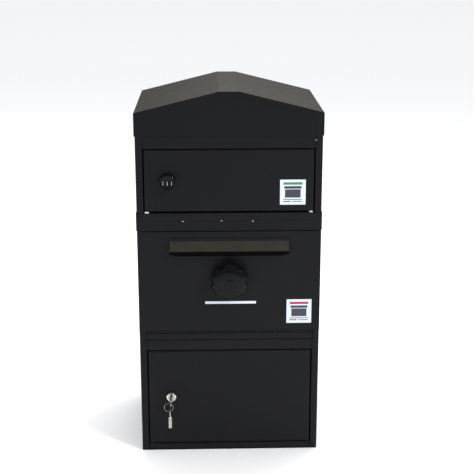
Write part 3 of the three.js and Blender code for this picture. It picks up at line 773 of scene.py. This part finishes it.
@dataclass
class HoodTrim:
    """Rubber edge guard pushed onto the hood's lower lip; its black lip hangs low to put painted shadow under
    the hood.
    """

    workshop: Workshop
    half: float = 145.5
    lip_front: float = -204.2
    lip_back: float = -202.7
    lip_low: float = 535.7
    grip: float = 3.2
    wall: float = 1.1
    # How far the black lip hangs below the hood: a dark strip put where the hood's shadow falls on the door,
    # painted shadow as much as trim.
    hang: float = 4.6
    play: float = 0.02
    past: float = 1.0

    def build(self) -> None:
        """Makes the guard, its groove open upwards and its solid black lip hanging below the hood as painted
        shadow.
        """
        w = self.wall
        low = (-self.half, self.lip_front - w, self.lip_low - self.hang)
        guard = block("hood_edge_guard_and_shadow", low, (self.half, self.lip_back + w, self.lip_low + self.grip))
        soften(guard, 0.5, 3)
        groove = block(
            "groove",
            (-self.half - self.past, self.lip_front - self.play, self.lip_low - self.play),
            (self.half + self.past, self.lip_back + self.play, self.lip_low + self.grip + 2 * self.past),
        )
        carve(guard, groove)
        self.workshop.mount(shade(guard, 30.0), "hopper", Slot.RUBBER)


# ------------------------------------------------------------------ pull knob


@dataclass
class StarKnob:
    """The lobed pull knob on the hopper door."""

    workshop: Workshop
    centre_z: float = 465.0
    seat: float = -184.5
    radius: float = 46.0
    front: float = -226.5
    lobes: int = 6
    notch_radius: float = 11.5
    notch_at: float = 49.0
    edge: float = 2.2
    collar: float = 2.6
    cap_groove: Span = (11.4, 12.6)

    def build(self) -> None:
        """Makes the crown with its neck, the seat's ring and the centre cap."""
        self._crown()
        self._collar()
        self._cap()

    def _crown(self) -> None:
        """Makes the lobed crown, its ring groove and its neck."""
        f, r, neck = self.front, self.radius, self.seat - self.collar
        crown = lathe(
            "knob_crown",
            [
                (0.0, f), (12.0, f + 0.1), (24.0, f + 0.9), (33.0, f + 2.6), (39.5, f + 5.4), (44.0, f + 9.4),
                (r, f + 14.5), (r, f + 20.0), (44.2, f + 25.5), (40.0, f + 29.6), (34.0, f + 31.6),
                (17.0, f + 32.6), (15.0, f + 34.4), (15.0, neck), (0.0, neck),
            ],
            0.0, self.centre_z, 96,
        )
        at = (self.notch_at, self.seat - 6.0, self.centre_z)
        notch = cylinder("notch", self.notch_radius, at, 44.0, Axis.FRONT, 48)
        carve(crown, repeat_round(notch, self.lobes, (0.0, 0.0, self.centre_z)))
        soften(crown, self.edge, 4, 34.0)
        low, high = self.cap_groove
        groove = lathe(
            "groove",
            [(low, f - 0.5), (high, f - 0.5), (high, f + 0.9), (low, f + 0.9), (low, f - 0.5)],
            0.0, self.centre_z, 64,
        )
        carve(crown, groove)
        self.workshop.mount(shade(crown, 30.0), "hopper", Slot.PLASTIC, "star_knob")

    def _collar(self) -> None:
        """Makes the ring that the neck stands in."""
        y, top = self.seat, self.seat - self.collar
        profile = [(0.0, top), (17.2, top), (18.4, y - 1.8), (18.8, y - 0.6), (18.8, y), (0.0, y)]
        collar = lathe("knob_collar", profile, 0.0, self.centre_z, 64)
        self.workshop.mount(shade(collar), "hopper", Slot.PLASTIC)

    def _cap(self) -> None:
        """Makes the shallow cap in the crown's middle."""
        f = self.front
        profile = [
            (0.0, f - 0.9), (5.0, f - 0.75), (8.6, f - 0.3), (9.6, f + 0.3), (9.6, f + 0.6), (0.0, f + 0.6),
        ]
        cap = lathe("knob_cap", profile, 0.0, self.centre_z, 48)
        self.workshop.mount(shade(cap), "hopper", Slot.PLASTIC)


# ------------------------------------------------------------------ combination lock


@dataclass
class CombinationLock:
    """Round head with a raised, milled rim and three numbered dials in windows."""

    workshop: Workshop
    x: float = -148.0
    z: float = 709.0
    back: float = -184.1
    front: float = -200.1
    radius: float = 19.5
    rim: float = 2.6
    sunk: float = 1.1
    flutes: int = 40
    dial_radius: float = 6.5
    dial_width: float = 5.0
    pitch: float = 10.4
    dial_y: float = -194.9
    dial_z: float = 707.0
    shaft_end: float = -163.6
    stub_end: float = -160.8
    room: float = 0.3
    values: int = 10

    def build(self) -> None:
        """Makes the head and the dials."""
        self._head()
        for index in (1, 2, 3):
            self._dial(index, self.x + (index - 2) * self.pitch)

    def _head(self) -> None:
        """Makes the head with its shaft, windows and fluted rim, then the dials' axle and the index line."""
        r, f, b = self.radius, self.front, self.back
        head = lathe(
            "lock_head",
            [
                (0.0, f + self.sunk), (r - self.rim - 0.4, f + self.sunk), (r - self.rim, f + 0.5),
                (r - self.rim + 0.5, f), (r - 0.9, f), (r - 0.2, f + 0.5), (r, f + 1.4), (r, b - 1.2),
                (r - 0.8, b), (4.9, b), (4.9, self.shaft_end), (3.0, self.shaft_end),
                (3.0, self.stub_end), (0.0, self.stub_end),
            ],
            self.x, self.z, 96,
        )
        flute = cylinder("flute", 0.62, (self.x, b - 2.4, self.z + r + 0.18), 10.4, Axis.FRONT, 12)
        carve(head, repeat_round(flute, self.flutes, (self.x, 0.0, self.z)))
        half_w, half_h = self.dial_width / 2 + self.room, self.dial_radius + self.room
        for index in (-1, 0, 1):
            x = self.x + index * self.pitch
            low = (x - half_w, f - 1.0, self.dial_z - half_h)
            high = (x + half_w, self.dial_y + half_h, self.dial_z + half_h)
            carve(head, block("window", low, high))
        soften(head, 0.22, 2, 32.0)
        self.workshop.mount(head, "combination_head", Slot.PLASTIC, "combination_lock_head")
        reach = self.pitch + self.dial_width / 2 + 1.6
        end = (self.x - reach, self.dial_y, self.dial_z)
        axle = cylinder("dial_axle", 0.95, end, 2 * reach, Axis.RIGHT, 24)
        self.workshop.mount(shade(axle), "combination_head", Slot.ZINC)
        low = (self.x - 12.5, f + self.sunk - 0.12, self.z + 6.6)
        high = (self.x + 12.5, f + self.sunk + 0.1, self.z + 7.3)
        mark = block("index_mark", low, high)
        self.workshop.mount(mark, "combination_head", Slot.PLASTIC)

    def _dial(self, index: int, x: float) -> None:
        """Makes one dial, with a groove between each two values, and its digits.

        Args:
            index: Which dial, from the left.
            x: The middle of its width.
        """
        half, y, z = self.dial_width / 2, self.dial_y, self.dial_z
        name = f"dial_wheel_{index}"
        wheel = cylinder(name, self.dial_radius, (x - half, y, z), self.dial_width, Axis.RIGHT, 60)
        over = (x - half - 0.5, y, z + self.dial_radius + 0.25)
        groove = cylinder("groove", 0.7, over, self.dial_width + 1.0, Axis.RIGHT, 10)
        turn_about(groove, 180.0 / self.values, "X", (x, y, z))
        carve(wheel, repeat_round(groove, self.values, (x, y, z), (1.0, 0.0, 0.0)))
        bore = cylinder("bore", 1.25, (x - half - 1.0, y, z), self.dial_width + 2.0, Axis.RIGHT, 24)
        carve(wheel, bore)
        soften(wheel, 0.2, 2, 30.0)
        body = f"dial_{index}"
        self.workshop.mount(wheel, body, Slot.PLASTIC, f"combination_dial_{index}")
        digits = [self._digit(digit, x) for digit in range(self.values)]
        self.workshop.mount(together(f"dial_digits_{index}", digits), body, Slot.NYLON)

    def _digit(self, digit: int, x: float) -> Piece:
        """Makes one digit, standing on the wheel's rim.

        Args:
            digit: The digit.
            x: The middle of the wheel's width.

        Returns:
            The digit as a mesh.
        """
        bpy.ops.object.select_all(action="DESELECT")
        bpy.ops.object.text_add(
            location=(x * MM, (self.dial_y - self.dial_radius - 0.02) * MM, self.dial_z * MM),
            rotation=(math.pi / 2, 0.0, 0.0),
        )
        glyph = bpy.context.view_layer.objects.active
        glyph.data.body = str(digit)
        glyph.data.size = 4.3 * MM
        glyph.data.extrude = 0.06 * MM
        glyph.data.offset = 0.04 * MM
        glyph.data.resolution_u = 3
        glyph.data.align_x = "CENTER"
        glyph.data.align_y = "CENTER"
        bpy.ops.object.convert(target="MESH")
        made = settle(named(f"digit_{digit}"))
        return turn_about(made, 360.0 / self.values * digit, "X", (x, self.dial_y, self.dial_z))


# ------------------------------------------------------------------ keyed lock


@dataclass
class KeyedLock:
    """Tubular cam lock with its key, a split ring and the spare key."""

    workshop: Workshop
    x: float = -148.0
    z: float = 148.0
    face: float = -186.3
    flange: float = -182.3
    barrel_end: float = -166.0
    shaft_end: float = -163.6
    stub_end: float = -160.8
    hole_y: float = -225.0
    ring_at: Span = (-153.6, 138.3)
    ring_radius: float = 11.2
    wire: float = 0.45
    turns: int = 2
    spare_at: Span = (-150.133, 127.644)
    threads: int = 8
    thread_pitch: float = 1.2
    bow_length: float = 30.0
    bow_width: float = 14.4
    bow_thick: float = 2.0
    key_radius: float = 4.6

    def build(self) -> None:
        """Makes the barrel, the plug, both keys and the ring."""
        self._barrel()
        self._plug()
        tip = -self.hole_y + self.face + 6.0
        key = self._key("door_key", self.x, self.z, tip)
        self.workshop.mount(key, "lock_plug", Slot.NICKEL, "key")
        x, z = self.spare_at
        spare = self._key("second_key", x, z, tip)
        turn_about(spare, -90.0, "X", (x, self.hole_y, z))
        self.workshop.mount(spare, "spare_key", Slot.NICKEL, "spare_key")
        self._ring()

    def _barrel(self) -> None:
        """Makes the bezel and the barrel behind it."""
        f, fl = self.face, self.flange
        barrel = lathe(
            "lock_barrel",
            [
                (7.15, f + 0.5), (7.6, f + 0.1), (8.2, f), (9.6, f + 0.05), (11.2, f + 0.55), (12.1, f + 1.3),
                (12.5, f + 2.3), (12.5, fl - 0.3), (12.3, fl), (9.5, fl), (9.5, self.barrel_end),
                (7.15, self.barrel_end), (7.15, f + 0.5),
            ],
            self.x, self.z, 96,
        )
        self.workshop.mount(shade(barrel, 28.0), "lower_door", Slot.CHROME, "cam_lock_barrel")
        rings = []
        for index in range(self.threads):
            y = fl + 6.9 + index * self.thread_pitch
            profile = [(9.3, y), (9.9, y + 0.45), (9.3, y + 0.9), (9.3, y)]
            rings.append(lathe("thread", profile, self.x, self.z, 48))
        self.workshop.mount(shade(together("barrel_thread", rings)), "lower_door", Slot.CHROME)

    def _plug(self) -> None:
        """Makes the plug with its ring-shaped keyway."""
        f = self.face + 0.3
        plug = lathe(
            "lock_plug_face",
            [
                (0.0, f), (2.9, f), (3.2, f + 0.25), (3.2, f + 6.4), (4.9, f + 6.4), (4.9, f + 0.3), (5.2, f),
                (6.7, f), (7.0, f + 0.3), (7.0, self.shaft_end), (3.0, self.shaft_end),
                (3.0, self.stub_end), (0.0, self.stub_end),
            ],
            self.x, self.z, 80,
        )
        slot = block("slot", (self.x - 0.9, f - 1.0, self.z + 4.2), (self.x + 0.9, f + 5.0, self.z + 6.2))
        carve(plug, slot)
        self.workshop.mount(shade(plug, 28.0), "lock_plug", Slot.CHROME, "cam_lock_plug")

    def _key(self, name: str, x: float, z: float, tip: float) -> Piece:
        """Makes a tubular key that points to the back, its bow's hole at the given place.

        Args:
            name: The piece's name.
            x: The hole's X.
            z: The hole's Z.
            tip: The key's tip behind the hole.

        Returns:
            The key.
        """
        y, half, r = self.hole_y, self.bow_width / 2, self.key_radius
        thick, neck, end = self.bow_thick / 2, y + self.bow_length / 2, y + tip
        bow = cylinder("bow", half, (x - thick, y, z), self.bow_thick, Axis.RIGHT, 48)
        plate = block("plate", (x - thick, y, z - half), (x + thick, neck + 1.5, z + half))
        carve(bow, plate, "UNION")
        carve(bow, cylinder("hole", 4.0, (x - 3.0, y, z), 6.0, Axis.RIGHT, 40))
        soften(bow, 0.4, 3, 35.0)
        shaft = lathe(
            name,
            [
                (0.0, neck - 1.0), (r - 1.4, neck - 1.0), (r, neck + 0.8), (r, neck + 5.0),
                (r - 0.5, neck + 5.4), (r - 0.5, neck + 6.4), (r, neck + 6.8), (r, end - 0.3),
                (r - 0.3, end), (r - 0.9, end), (r - 1.1, end - 0.3), (r - 1.1, end - 10.0), (0.0, end - 10.0),
            ],
            x, z, 64,
        )
        shade(shaft, 28.0)
        lug = block("lug", (x - 0.6, end - 4.4, z + r - 0.4), (x + 0.6, end - 2.8, z + r + 0.25))
        return together(name, [shaft, bow, lug])

    def _ring(self) -> None:
        """Makes the split ring: a wire wound twice round."""
        x, z = self.ring_at
        start = Vector((x + self.ring_radius, self.hole_y - self.wire, z)) * MM
        bpy.ops.object.select_all(action="DESELECT")
        bpy.ops.mesh.primitive_circle_add(vertices=10, radius=self.wire * MM, location=start)
        ring = settle(named("split_ring"))
        bpy.context.scene.cursor.location = (x * MM, self.hole_y * MM, z * MM)
        bpy.ops.object.origin_set(type="ORIGIN_CURSOR")
        modify(
            ring, "SCREW", axis="Y", angle=self.turns * FULL_TURN, screw_offset=2 * self.wire * 1.04 * MM,
            steps=160, render_steps=160, use_merge_vertices=False, use_normal_calculate=True,
        )
        edit_all(settle(ring))
        bpy.ops.mesh.select_non_manifold(extend=False)
        bpy.ops.mesh.edge_face_add()
        bpy.ops.mesh.select_all(action="SELECT")
        bpy.ops.mesh.normals_make_consistent(inside=False)
        leave_edit()
        self.workshop.mount(shade(ring, 40.0), "key_ring", Slot.NICKEL, "key_ring")


# ------------------------------------------------------------------ labels and marks


@dataclass
class Labels:
    """Two plain vinyl labels with a simple drawing of a parcel, and a white bar on the hopper door."""

    workshop: Workshop
    size: float = 62.0
    thick: float = 0.3
    ink: float = 0.06
    bite: float = 0.02
    bar_low: Point = (-60.0, -184.36, 398.0)
    bar_high: Point = (66.0, -184.18, 404.5)
    bar_round: float = 3.0

    def build(self) -> None:
        """Makes both labels and the bar."""
        self._label("upper", "upper_door", 122.7, 650.0, -182.3, Ink.GREEN)
        self._label("middle", "hopper", 142.0, 346.0, -184.5, Ink.RED)
        bar = block("white_bar", self.bar_low, self.bar_high)
        edit_all(bar)
        bpy.ops.mesh.bevel(offset=self.bar_round * MM, segments=6, affect="EDGES", clamp_overlap=True)
        leave_edit()
        self.workshop.mount(bar, "hopper", Slot.LABEL)

    def _label(self, name: str, body: str, x: float, z: float, back: float, accent: Ink) -> None:
        """Makes one label: the vinyl, the drawing of a parcel, two lines and two coloured bars.

        Args:
            name: The label's name.
            body: The body that it sticks to.
            x: Its left edge.
            z: Its bottom edge.
            back: Y of its back.
            accent: The colour of its bars.
        """
        s, front = self.size, back - self.thick
        sheet = block(f"{name}_vinyl", (x, front, z), (x + s, back, z + s))
        soften(sheet, 0.08, 1, 40.0)
        self.workshop.mount(sheet, body, Slot.LABEL, f"{name}_label")

        def patch(u0: float, u1: float, v0: float, v1: float) -> Piece:
            """One printed rectangle, its sides measured from the label's left and bottom edges."""
            low, high = (x + u0, front - self.ink, z + v0), (x + u1, front + self.bite, z + v1)
            return block("patch", low, high)

        carton = [patch(12, 50, 17.5, 38), patch(10, 52, 39.6, 46)]
        lines = [patch(8, 54, 12.2, 14), patch(30, 54, 7.2, 9)]
        drawing = together(f"{name}_drawing", carton + lines)
        self.workshop.mount(drawing, body, Slot.LABEL)
        self.workshop.coat(drawing, self.workshop.inks[Ink.GREY])
        bars = together(f"{name}_bars", [patch(8, 54, 49.5, 55.5), patch(8, 26, 6.5, 9.5)])
        self.workshop.mount(bars, body, Slot.LABEL)
        self.workshop.coat(bars, self.workshop.inks[accent])


# ------------------------------------------------------------------ fasteners


@dataclass
class Fasteners:
    """Blind rivets at the back, and bolts on the two floors."""

    workshop: Workshop
    head: float = 3.2
    rise: float = 1.1
    rear: float = 182.0
    rear_lips: float = 183.8
    columns: tuple[float, ...] = (-190.0, -95.0, 0.0, 95.0, 190.0)
    floor_bolt: Point = (164.5, 122.0, 1.5)
    tray_bolt: Point = (190.0, 130.0, 612.8)

    def build(self) -> None:
        """Makes the rivet rows and the bolts."""
        rows = {
            "rear_rivets_lower": (self.rear, (12.0, 290.0)),
            "rear_rivets_middle": (self.rear, (312.0,)),
            "rear_rivets_seam": (self.rear_lips, (598.5, 621.0)),
            "rear_rivets_roof": (self.rear_lips, (829.0,)),
        }
        for name, (y, levels) in rows.items():
            rivets = [self._rivet(x, y, z) for z in levels for x in self.columns]
            self.workshop.mount(shade(together(name, rivets)), "cabinet", Slot.COAT)
        self._bolts("floor_anchors", *self.floor_bolt)
        self._bolts("tray_bolts", *self.tray_bolt)

    def _rivet(self, x: float, y: float, z: float) -> Piece:
        """Makes the dome of one blind rivet that faces the back.

        Args:
            x: Its X.
            y: The sheet's surface.
            z: Its Z.

        Returns:
            The rivet.
        """
        h, t = self.head, self.rise
        profile = [
            (0.0, y - 0.1), (h, y - 0.1), (h, y + 0.25), (h * 0.86, y + t * 0.62), (h * 0.5, y + t),
            (1.3, y + t), (1.1, y + t - 0.5), (0.0, y + t - 0.5),
        ]
        return lathe("rivet", profile, x, z, 24)

    def _bolts(self, name: str, x_off: float, y_off: float, z: float) -> None:
        """Makes four hexagon bolts with washers, standing up on a floor.

        Args:
            name: The piece's name.
            x_off: Each bolt's distance from the middle, to the side.
            y_off: Each bolt's distance from the middle, to the front or back.
            z: The floor's surface.
        """
        made = []
        for x, y in [(sx * x_off, sy * y_off) for sx in (-1, 1) for sy in (-1, 1)]:
            washer = cylinder("washer", 9.5, (x, y, z + 0.02), 1.6, Axis.UP, 40)
            soften(washer, 0.25, 2)
            nut = cylinder("nut", 7.0, (x, y, z + 1.64), 5.2, Axis.UP, 6)
            soften(nut, 0.4, 2)
            stud = cylinder("stud", 3.9, (x, y, z + 6.8), 4.0, Axis.UP, 32)
            soften(stud, 0.5, 2)
            made += [washer, nut, stud]
        self.workshop.mount(together(name, made), "cabinet", Slot.ZINC)


# ------------------------------------------------------------------ stage


@dataclass(frozen=True)
class Studio:
    """Floor, soft lights and the camera."""

    camera_at: Point = (-0.0538, -2.6929, 1.2923)
    pitch: float = -16.056
    yaw: float = -1.658
    lens: float = 81.39
    sensor: float = 36.0
    floor_size: float = 40.0
    soft_light: float = 1.05
    mirrored: float = 0.17

    def build(self) -> None:
        """Makes the stage."""
        self._camera()
        self._world()
        self._floor()
        self._light("key", (2.3, -2.2, 2.7), 0.55, 66.0, (0.0, 0.0, 0.5))
        self._light("fill", (-2.4, -1.6, 1.6), 1.8, 2.0, (0.0, 0.0, 0.5))
        self._light("sky", (0.45, 1.6, 3.2), 2.8, 66.0, (0.0, 0.0, 0.8))
        bpy.context.scene.view_settings.view_transform = "Standard"
        log.info("stage ready")

    def _camera(self) -> None:
        """Adds the camera."""
        lens = bpy.data.cameras.new("camera")
        lens.lens = self.lens
        lens.sensor_width = self.sensor
        eye = bpy.data.objects.new("camera", lens)
        eye.location = self.camera_at
        eye.rotation_euler = (math.radians(90.0 + self.pitch), 0.0, math.radians(self.yaw))
        bpy.context.scene.collection.objects.link(eye)
        bpy.context.scene.camera = eye

    def _world(self) -> None:
        """A pale surround that lights softly and shows white."""
        world = bpy.data.worlds.new("surround")
        bpy.context.scene.world = world
        world.use_nodes = True
        tree = world.node_tree
        tree.nodes.clear()
        out = tree.nodes.new("ShaderNodeOutputWorld")
        backgrounds = []
        for colour, strength in (
            ((1.0, 1.0, 1.0, 1.0), 1.0),
            ((0.97, 0.98, 1.0, 1.0), self.soft_light),
            ((0.95, 0.98, 1.0, 1.0), self.mirrored),
        ):
            made = tree.nodes.new("ShaderNodeBackground")
            made.inputs["Color"].default_value = colour
            made.inputs["Strength"].default_value = strength
            backgrounds.append(made.outputs["Background"])
        seen, soft, mirror = backgrounds
        path = tree.nodes.new("ShaderNodeLightPath")
        kind = tree.nodes.new("ShaderNodeMixShader")
        tree.links.new(path.outputs["Is Glossy Ray"], kind.inputs["Fac"])
        tree.links.new(soft, kind.inputs[1])
        tree.links.new(mirror, kind.inputs[2])
        pick = tree.nodes.new("ShaderNodeMixShader")
        tree.links.new(path.outputs["Is Camera Ray"], pick.inputs["Fac"])
        tree.links.new(kind.outputs["Shader"], pick.inputs[1])
        tree.links.new(seen, pick.inputs[2])
        tree.links.new(pick.outputs["Shader"], out.inputs["Surface"])

    def _floor(self) -> None:
        """A plain pale floor, just under the base."""
        bpy.ops.object.select_all(action="DESELECT")
        bpy.ops.mesh.primitive_plane_add(size=self.floor_size, location=(0, 0, -0.0005))
        floor = named("floor")
        n = Nodes("pale_floor")
        pale = n.blend(n.noise(3.0, 2.0), (0.98, 0.98, 0.98), (0.99, 0.99, 0.99))
        n.link(pale, n.shader.inputs["Base Color"])
        n.set(Roughness=0.7)
        floor.data.materials.append(n.material)

    def _light(self, name: str, place: Point, size: float, power: float, aim: Point) -> None:
        """Adds a square soft light.

        Args:
            name: The light's name.
            place: Where it stands.
            size: Its side.
            power: Its power, in watts.
            aim: The point that it faces.
        """
        lamp = bpy.data.lights.new(name, "AREA")
        lamp.size = size
        lamp.energy = power
        stand = bpy.data.objects.new(name, lamp)
        stand.location = place
        stand.rotation_euler = (Vector(aim) - Vector(place)).to_track_quat("-Z", "Y").to_euler()
        bpy.context.scene.collection.objects.link(stand)


def main() -> None:
    """Builds everything in order."""
    workshop = Workshop()
    SheetMetal(workshop).finish_all(frame["record"])
    HoodTrim(workshop).build()
    StarKnob(workshop).build()
    CombinationLock(workshop).build()
    KeyedLock(workshop).build()
    Labels(workshop).build()
    Fasteners(workshop).build()
    Studio().build()


if __name__ == "__main__":
    main()
